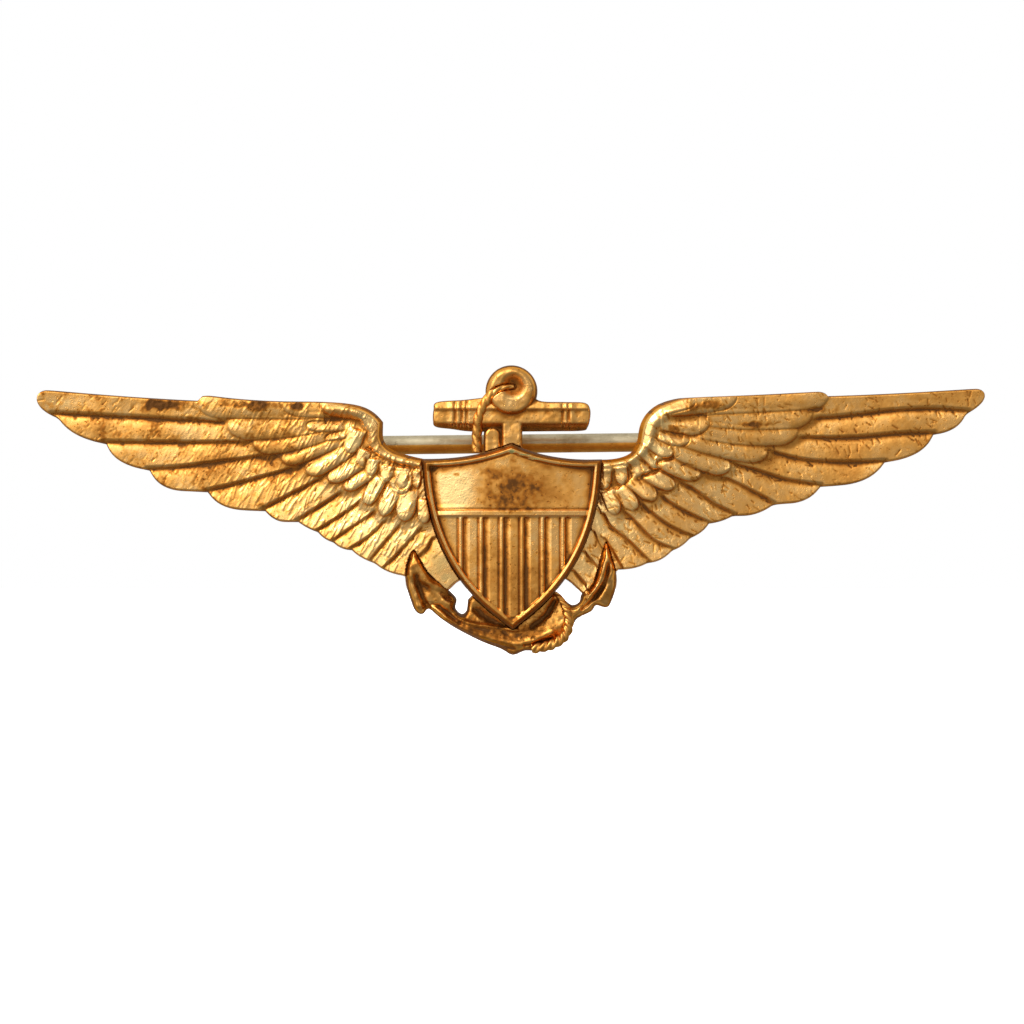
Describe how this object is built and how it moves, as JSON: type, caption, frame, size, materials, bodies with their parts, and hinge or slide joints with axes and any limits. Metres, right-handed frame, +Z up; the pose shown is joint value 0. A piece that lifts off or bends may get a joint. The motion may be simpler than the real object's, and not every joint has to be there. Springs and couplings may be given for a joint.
{
  "type": "pilot wings pin",
  "caption": "Gilt breast badge with feathered wings, a striped shield and a roped anchor, with a hinged pin stem and a rolling safety catch behind.",
  "frame": {"origin": "centre of the badge's flat back", "axes": "+Z up as worn, -Y towards the onlooker, +X to the onlooker's right"},
  "size_m": [0.0701, 0.006, 0.0215],
  "materials": {
    "gilt_metal": "worn gilt, bright on the high relief, brown patina in the recesses",
    "fitting_brass": "dull satin brass with solder traces",
    "nickel": "worn nickel plate, grey with small pits"
  },
  "bodies": {
    "badge": {"left_wing": "gilt_metal", "right_wing": "gilt_metal", "shield": "gilt_metal", "anchor": "gilt_metal", "anchor_rope_upper": "gilt_metal", "anchor_rope_lower": "gilt_metal", "hinge_pad": "fitting_brass", "hinge_bracket": "fitting_brass", "hinge_rivet": "nickel", "catch_pad": "fitting_brass", "catch_housing": "fitting_brass"},
    "stem": {"pin_stem": "nickel"},
    "roller": {"catch_roller": "nickel"}
  },
  "joints": [
    {"name": "stem_swing", "type": "hinge", "parent": "badge", "child": "stem", "pos_m": [-0.0177, 0.00215, 0.00475], "axis": [-0.0112, 0, 0.9999], "range_deg": [0, 80]},
    {"name": "catch_lock", "type": "hinge", "parent": "badge", "child": "roller", "pos_m": [0.0175, 0.00215, 0.00515], "axis": [0.9999, 0, 0.0112], "range_deg": [0, 85]}
  ]
}
